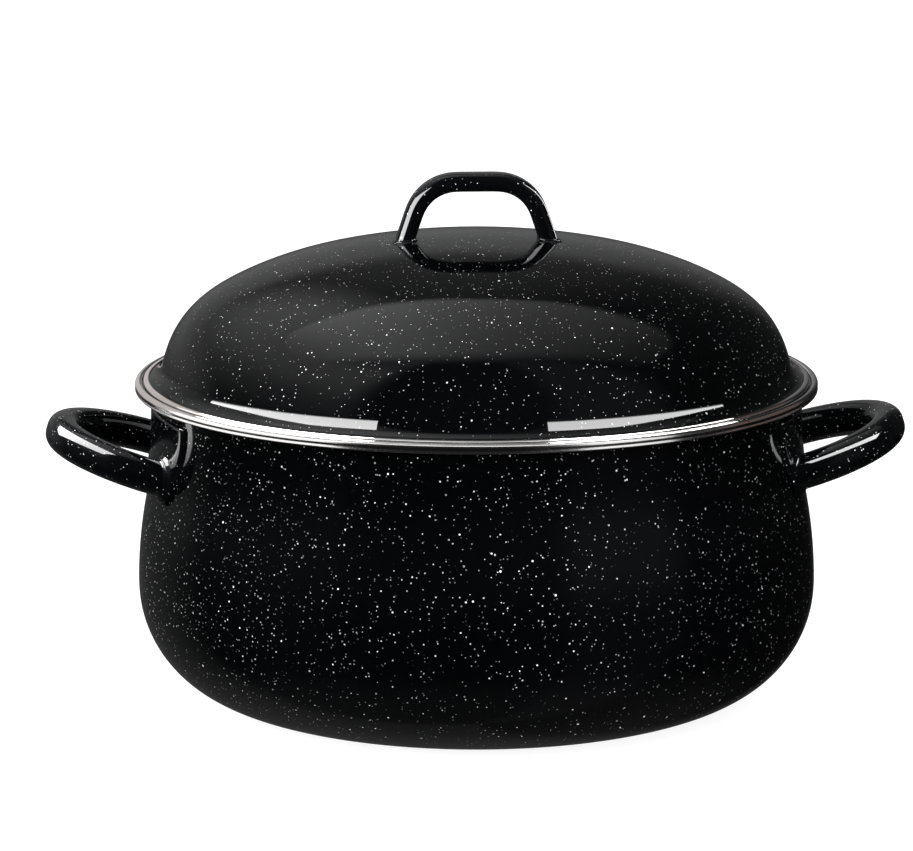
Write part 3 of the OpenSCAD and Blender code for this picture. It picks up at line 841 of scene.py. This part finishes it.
def ring_piece(name, node, r, z, marks=()):
    """A ring of round wire with its butt weld and the beads of the wires welded to it."""
    parts = [wire(circle(r, z), RING_R, closed=True)]
    butt_weld = bead((r, 0, z), (0, 1, 0), 3.4, RING_R * 1.12, 1.0)
    parts.append(moved(butt_weld, Matrix.Rotation(math.radians(BUTT_WELD_AT), 4, "Z")))
    for angle, dz, dr in marks:
        spot_weld = bead((r + dr, 0, z + dz), (0, 1, 0), 5.4, 1.0, 0.8)
        parts.append(moved(spot_weld, Matrix.Rotation(math.radians(angle), 4, "Z")))
    dress(piece(name, *joined(parts), "rack", [node], "plated_wire", 60), WIRE)


eighths = [45 * i for i in range(8)]
quarters = [45 + 90 * i for i in range(4)]
uprights_at = [22.5 + 45 * i for i in range(8)]
under_spokes = [(a, RING_R, 0) for a in eighths]
ring_piece("rack_floor_ring_outer", "rack_base_ring", BASE_RING_R, FLOOR_Z, under_spokes)
ring_piece("rack_floor_ring_middle", "rack_middle_ring", MID_RING_R, FLOOR_Z, under_spokes)
ring_piece("rack_floor_ring_hub", "rack_hub_ring", HUB_RING_R, FLOOR_Z, under_spokes)
ring_piece("rack_top_ring", "rack_upper_ring", UPPER_R, UPPER_Z, [(a, -RING_R, 0) for a in quarters])
ring_piece("rack_stay_ring", "rack_divider_stay_ring", STAY_R, STAY_Z, [(a, 0, RING_R) for a in quarters])

spoke_run = BASE_RING_R - HUB_RING_R + 6
spoke_line = [(HUB_RING_R - 3 + spoke_run * t / 6, 0, SPOKE_Z) for t in range(7)]
spokes = [wire(turned(spoke_line, a), THIN_R) for a in eighths]
dress(piece("rack_spokes", *joined(spokes), "rack", ["rack_floor_spokes"], "plated_wire"), WIRE)

foot_r = FLOOR_Z - RING_R - POT_T - THIN_R + 1
foot_z = POT_T + THIN_R + foot_r
foot_line = [(MID_RING_R, y, z) for y, z in arc(0, foot_z, foot_r, 180, 360, 24)]
feet = [wire(turned(foot_line, a), THIN_R) for a in quarters]
dress(piece("rack_wire_feet", *joined(feet), "rack", ["rack_feet"], "plated_wire"), WIRE)

upright_foot = Vector((BASE_RING_R, 0, FLOOR_Z))
upright_head = Vector((UPPER_R, 0, UPPER_Z))
upright_line = [upright_foot.lerp(upright_head, t / 12) for t in range(13)]
uprights = [wire(turned(upright_line, a), THIN_R) for a in uprights_at]
dress(piece("rack_side_wires", *joined(uprights), "rack", ["rack_uprights"], "plated_wire"), WIRE)

divider_rise = DIVIDER_Z - BEND_R - SPOKE_Z
divider_start = HUB_RING_R + BEND_R
divider_reach = UPPER_R + 3 - divider_start
divider_line = [(HUB_RING_R, 0, SPOKE_Z + divider_rise * t / 10) for t in range(11)]
divider_line += [(x, 0, z) for x, z in arc(divider_start, DIVIDER_Z - BEND_R, BEND_R, 180, 90, 12)[1:]]
divider_line += [(divider_start + divider_reach * t / 8, 0, DIVIDER_Z) for t in range(1, 9)]
dividers = [wire(turned(divider_line, a), THIN_R) for a in quarters]
dress(piece("rack_divider_wires", *joined(dividers), "rack", ["rack_jar_dividers"], "plated_wire"), WIRE)


def tube(centre, inner, outer, length, around=40):
    """Short tube along Y with rounded ends."""
    c = Vector(centre)
    edge = 0.5
    half = length / 2
    profile = [(inner, half - 0.2), (inner + 0.3, half)]
    profile += [(outer - edge, half), (outer - 0.12, half - 0.15), (outer, half - edge)]
    profile += [(r, -y) for r, y in profile[::-1]]
    rings = []
    for k in range(around):
        a = 2 * math.pi * k / around
        rings.append([c + Vector((r * math.cos(a), y, r * math.sin(a))) for r, y in profile])
    return skin(rings, caps=False, closed=True)


eyes = []
for sx in (-1, 1):
    for sy in (-1, 1):
        eyes.append(tube((sx * HINGE_X, sy * EYE_Y, HINGE_Z), 1.85, EYE_R, EYE_W))
        near = Vector((sx * (HINGE_X + 2.35), sy * (EYE_Y + 2.6), HINGE_Z - 4.0))
        eyes.append(bead(near, (-sy * 0.33 * sx, 1, 0), 6.0, 1.3, 0.85))
dress(piece("rack_hinge_tubes", *joined(eyes), "rack", ["rack_hinge_eyes"], "plated_wire", 60), WIRE)


def bail(sign):
    """Fold-down wire handle on one side, lying flat and inwards."""
    hinge_bend, grip_bend = 4.0, 10.0
    end_y = EYE_Y - EYE_W / 2 - 1
    half = [(0, end_y), (0, EYE_Y), (0, EYE_Y + EYE_W / 2)]
    half += arc(hinge_bend, BAIL_HALF_W - hinge_bend, hinge_bend, 180, 90, 8)
    half += [(hinge_bend + (BAIL_REACH - hinge_bend - grip_bend) * t / 5, BAIL_HALF_W) for t in range(1, 5)]
    half += arc(BAIL_REACH - grip_bend, BAIL_HALF_W - grip_bend, grip_bend, 90, 0, 12)
    half += [(BAIL_REACH, (BAIL_HALF_W - grip_bend) * t / 6) for t in range(5, 0, -1)]
    path = half + [(x, -y) for x, y in ([(BAIL_REACH, 0)] + half[::-1])]
    return wire([(sign * (HINGE_X - x), y, HINGE_Z) for x, y in path], BAIL_R, 24)


for name, node, body, sign in (
    ("rack_left_handle", "rack_handle_left", "left_bail", -1),
    ("rack_right_handle", "rack_handle_right", "right_bail", 1),
):
    dress(piece(name, *bail(sign), body, [node], "plated_wire"), WIRE)

# ---------------------------------------------------------------- floor, light and camera


def stage_floor(name, size):
    """Pale floor, evened out to near white for the camera, that still takes a soft contact shadow."""
    bm = bmesh.new()
    bmesh.ops.create_grid(bm, x_segments=2, y_segments=2, size=size)
    mesh = bpy.data.meshes.new(name)
    bm.to_mesh(mesh)
    bm.free()
    obj = bpy.data.objects.new(name, mesh)
    bpy.context.scene.collection.objects.link(obj)
    n = Nodes(name)
    shade = n.ramp(n.noise(3, 2), 0.3, 0.7)
    n.link(n.mix(shade, (0.30, 0.30, 0.30, 1), (0.31, 0.31, 0.31, 1)), n.bsdf.inputs["Base Color"])
    n.bsdf.inputs["Roughness"].default_value = 0.9
    n.bsdf.inputs["Specular IOR Level"].default_value = 0.0
    n.bsdf.inputs["Emission Color"].default_value = (1, 1, 1, 1)
    seen = n.add("ShaderNodeLightPath").outputs["Is Camera Ray"]
    away = n.add("ShaderNodeVectorMath", operation="LENGTH")
    n.link(n.coord, away.inputs[0])
    even = n.ramp(away.outputs["Value"], 0.8, 4.0, 0.90, 1.0)
    n.link(n.math("MULTIPLY", seen, even), n.bsdf.inputs["Emission Strength"])
    obj.data.materials.append(n.material)
    obj.visible_glossy = False
    obj.visible_shadow = False
    return obj


stage_floor("floor", 14.0)


def softbox(name, at, aim, size, radiance, along=(1, 0, 0), only=(), tone=(1, 1, 1), mirrored=True):
    """Rectangular light of a given radiance, its width along a direction, kept to some pieces if asked."""
    light = bpy.data.lights.new(name, "AREA")
    light.shape = "RECTANGLE"
    light.size, light.size_y = size
    light.energy = radiance * math.pi * size[0] * size[1]
    light.color = tone
    obj = bpy.data.objects.new(name, light)
    back = (Vector(at) - Vector(aim)).normalized()
    across = (Vector(along) - back * Vector(along).dot(back)).normalized()
    turn = Matrix((across, back.cross(across), back)).transposed()
    obj.matrix_world = Matrix.Translation(at) @ turn.to_4x4()
    bpy.context.scene.collection.objects.link(obj)
    obj.visible_camera = False
    obj.visible_glossy = mirrored
    if only:
        group = bpy.data.collections.new(name + "_receivers")
        for piece_name in only:
            group.objects.link(bpy.data.objects[piece_name])
        obj.light_linking.receiver_collection = group
    return obj


TRIMS = ("pot_rim_band", "lid_rim_band")
SIDE_PARTS_LEFT = ("left_loop_handle", "left_saddle_plate", "side_handle_weld_rolls")
SIDE_PARTS_RIGHT = ("right_loop_handle", "right_saddle_plate", "side_handle_weld_rolls")
LID_HANDLE = ("lid_arch_handle", "lid_handle_foot_rolls")
RACK = tuple(o.name for o in bpy.data.objects if o.type == "MESH" and WIRE.name in o.data.materials)

# Fill light brings out the specks; it is left out of the mirror of the glossy enamel.
softbox("front_fill", (0.3, -2.3, 1.3), (0, 0, 0.12), (2.4, 1.8), 7.0, mirrored=False)
softbox("left_fill", (-1.9, -1.3, 0.9), (0, 0, 0.12), (1.2, 1.2), 14.0, (0.6, -0.8, 0), mirrored=False)
softbox("top_fill", (0, -0.4, 2.2), (0, 0, 0.12), (2.0, 1.6), 3.0, mirrored=False)
softbox("back_fill", (0.4, 2.2, 1.0), (0, 0, 0.12), (2.0, 1.4), 4.0, mirrored=False)

# Cards round the steel: pale at the left, bright at the right front, dim and warm at the far right.
softbox("trim_box_left", (-1.2, -0.15, 0.42), (0, -0.1, 0.14), (1.9, 1.2), 1.5, (0, 1, 0), TRIMS)
softbox("trim_box_back", (-0.65, 1.1, 0.45), (-0.1, 0, 0.14), (1.25, 1.0), 0.42, (1, 0.6, 0), TRIMS,
        (1, 0.9, 0.87))
softbox("trim_box_right", (0.88, -0.86, 0.40), (0, -0.1, 0.14), (0.70, 1.0), 1.2, (0.68, 0.73, 0), TRIMS)
softbox("trim_box_dim", (1.25, 0.35, 0.40), (0.1, 0, 0.14), (1.2, 0.9), 0.10, (0, 1, 0), TRIMS,
        (1, 0.72, 0.66))
softbox("trim_box_top", (0, -0.75, 1.2), (0, -0.15, 0.14), (2.4, 0.6), 1.3, (1, 0, 0), TRIMS)

# Long highlights along the bars of the handles.
softbox("left_streak", (-0.99, 0.23, 1.10), (-0.172, -0.03, 0.124), (1.8, 0.85), 16.0,
        (0.21, -0.89, 0.40), SIDE_PARTS_LEFT)
softbox("right_streak", (0.73, -0.49, 1.21), (0.16, -0.045, 0.119), (2.0, 0.52), 17.0,
        (0.75, 0.62, -0.21), SIDE_PARTS_RIGHT)
softbox("arch_box_left", (-1.10, -0.75, 0.50), (-0.03, 0, 0.215), (1.6, 1.0), 16.0,
        (-0.57, 0.82, 0), LID_HANDLE)
softbox("arch_box_right", (1.10, 0.34, 0.83), (0.028, 0, 0.222), (1.8, 0.22), 13.0,
        (0.23, 0.81, -0.53), LID_HANDLE)

# Cards for the bright wire of the rack, seen once the lid is up.
softbox("wire_box_left", (-1.3, -0.8, 0.9), (0, 0, 0.2), (1.6, 1.2), 1.7, (0.5, -0.85, 0), RACK)
softbox("wire_box_right", (1.4, -0.3, 0.8), (0, 0, 0.2), (1.2, 1.2), 0.9, (0.2, 1, 0), RACK)
softbox("wire_box_back", (0.2, 1.4, 0.9), (0, 0, 0.2), (1.8, 1.0), 1.0, (1, 0, 0), RACK)
softbox("wire_box_top", (0, 0, 2.0), (0, 0, 0.2), (1.6, 1.6), 1.2, (1, 0, 0), RACK)

GLOW_Z = 153.2
FLAT_RAY, STEEP_RAY = 0.26, 0.40


def edge_glow(name, a0, a1, r_thin, r_wide, r_out, thin_first, strength):
    """Curved light panel over the brim, lit from below only, that narrows towards one end.

    It is mirrored in the hollow at the foot of the dome. Rays that reach it at a flat angle see nothing,
    which keeps a second, fainter mirror image off the side of the dome.
    """
    steps = 48
    verts, faces = [], []
    for i in range(steps + 1):
        a = a0 + (a1 - a0) * i / steps
        wide = i / steps if thin_first else 1 - i / steps
        r_in = r_thin + (r_wide - r_thin) * min(1.0, 1.5 * wide)
        for r in (r_in, r_out):
            verts.append((r * cosd(a) * MM, r * sind(a) * MM, GLOW_Z * MM))
    for i in range(steps):
        faces.append([2 * i, 2 * i + 2, 2 * i + 3, 2 * i + 1])
    mesh = bpy.data.meshes.new(name)
    mesh.from_pydata(verts, [], faces)
    if mesh.polygons[0].normal.z > 0:
        mesh.flip_normals()
    obj = bpy.data.objects.new(name, mesh)
    bpy.context.scene.collection.objects.link(obj)
    n = Nodes(name)
    face = n.add("ShaderNodeNewGeometry")
    slant = n.add("ShaderNodeVectorMath", operation="DOT_PRODUCT")
    n.link(face.outputs["Incoming"], slant.inputs[0])
    n.link(face.outputs["True Normal"], slant.inputs[1])
    glow = n.add("ShaderNodeEmission")
    front = n.math("SUBTRACT", 1.0, face.outputs["Backfacing"])
    level = n.math("MULTIPLY", n.ramp(slant.outputs["Value"], FLAT_RAY, STEEP_RAY, 0.0, strength), front)
    n.link(level, glow.inputs["Strength"])
    both = n.add("ShaderNodeAddShader")
    n.link(glow.outputs[0], both.inputs[0])
    n.link(n.add("ShaderNodeBsdfTransparent").outputs[0], both.inputs[1])
    n.link(both.outputs[0], n.out.inputs["Surface"])
    mesh.materials.append(n.material)
    obj.parent = frame["bodies"]["lid"]
    obj.visible_camera = False
    obj.visible_diffuse = False
    obj.visible_shadow = False
    return obj


edge_glow("glow_left", 209, 249, 143.9, 141.9, 146.2, True, 16)
edge_glow("glow_right", 280, 319, 143.9, 141.95, 146.2, False, 14)

# Surroundings mirrored in the enamel, told by direction: x to the right, y to the back, z up.
w = Nodes("studio", world=True)
bpy.context.scene.world = w.material
split = w.add("ShaderNodeSeparateXYZ")
w.link(w.coord, split.inputs[0])
dir_x, dir_y, dir_z = split.outputs
high = w.math("MAXIMUM", dir_z, 0.05)
level_run = w.math("SQRT", w.math("ADD", w.math("MULTIPLY", dir_x, dir_x), w.math("MULTIPLY", dir_y, dir_y)))
level_run = w.math("MAXIMUM", level_run, 0.001)
leftness = w.math("MULTIPLY", w.math("DIVIDE", dir_x, level_run), -1.0)
backness = w.math("DIVIDE", dir_y, level_run)

# A card overhead, brightest a little left of the middle, with a hard front edge and an arched lower one.
card = w.steps(w.math("DIVIDE", dir_x, high), [
    (-2.0, 0.20), (-1.2, 0.40), (-0.7, 0.62), (-0.35, 1.06), (-0.12, 0.74),
    (0.0, 0.58), (0.15, 0.40), (0.4, 0.24), (0.7, 0.12), (1.3, 0.03),
])
card = w.math("MULTIPLY", card, w.ramp(w.math("DIVIDE", dir_y, high), -0.25, 0.12))
card = w.math("MULTIPLY", card, w.ramp(dir_z, 0.705, 0.745))

# A dimmer wall of light on the left, fading towards the horizon and towards the top.
wall = w.ramp(dir_z, 0.30, 0.72, 0.17, 0.50)
wall = w.math("MULTIPLY", wall, w.ramp(backness, -0.76, -0.52))
wall = w.math("MULTIPLY", wall, w.ramp(leftness, 0.05, 0.38))
wall = w.math("MULTIPLY", wall, w.ramp(dir_z, 0.80, 0.92, 1.0, 0.45))
wall = w.math("MULTIPLY", wall, w.ramp(dir_z, 0.08, 0.36, 0.14, 1.0))

# A faint glow low down at the back left, a fainter one at the right front, and a dark room round them.
low = w.math("MULTIPLY", w.ramp(dir_z, 0.28, 0.42, 0.19, 0.06), w.ramp(leftness, -0.45, -0.02))
low = w.math("MULTIPLY", low, w.ramp(backness, 0.2, 0.7))
side = w.math("MULTIPLY", w.ramp(leftness, -0.35, -0.6, 0.0, 0.08), w.ramp(backness, -0.2, -0.5))
glow = w.math("MAXIMUM", w.math("MAXIMUM", card, wall), low)
glow = w.math("ADD", w.math("MAXIMUM", glow, side), 0.022)
glow = w.math("MULTIPLY", glow, w.ramp(dir_z, -0.15, 0.10, 0.3, 1.0))
glow = w.math("ADD", glow, w.ramp(dir_z, -0.9, -0.5, 0.04, 0.0))
mirrored = w.add("ShaderNodeBackground")
w.link(glow, mirrored.inputs["Strength"])
mirrored.inputs["Color"].default_value = (0.985, 0.99, 1.0, 1)
backdrop = w.add("ShaderNodeBackground")
backdrop.inputs["Color"].default_value = (1, 1, 1, 1)
pick = w.add("ShaderNodeMixShader")
w.link(w.add("ShaderNodeLightPath").outputs["Is Camera Ray"], pick.inputs[0])
w.link(mirrored.outputs[0], pick.inputs[1])
w.link(backdrop.outputs[0], pick.inputs[2])
w.link(pick.outputs[0], w.out.inputs["Surface"])

CAMERA_ELEVATION = 11.48
CAMERA_TURN = 2.9
CAMERA_DISTANCE = 2.5
camera_data = bpy.data.cameras.new("camera")
camera_data.sensor_width = 36.0
camera_data.lens = 223.2
camera_data.shift_x = -0.0219
camera_data.shift_y = 0.0059
camera_data.clip_end = 50
camera = bpy.data.objects.new("camera", camera_data)
target = Vector((0, 0, 0.120))
toward = Vector((
    -sind(CAMERA_TURN) * cosd(CAMERA_ELEVATION),
    -cosd(CAMERA_TURN) * cosd(CAMERA_ELEVATION),
    sind(CAMERA_ELEVATION),
))
camera.location = target + toward * CAMERA_DISTANCE
camera.rotation_euler = (-toward).to_track_quat("-Z", "Y").to_euler()
bpy.context.scene.collection.objects.link(camera)
bpy.context.scene.camera = camera
bpy.context.scene.view_settings.view_transform = "Standard"
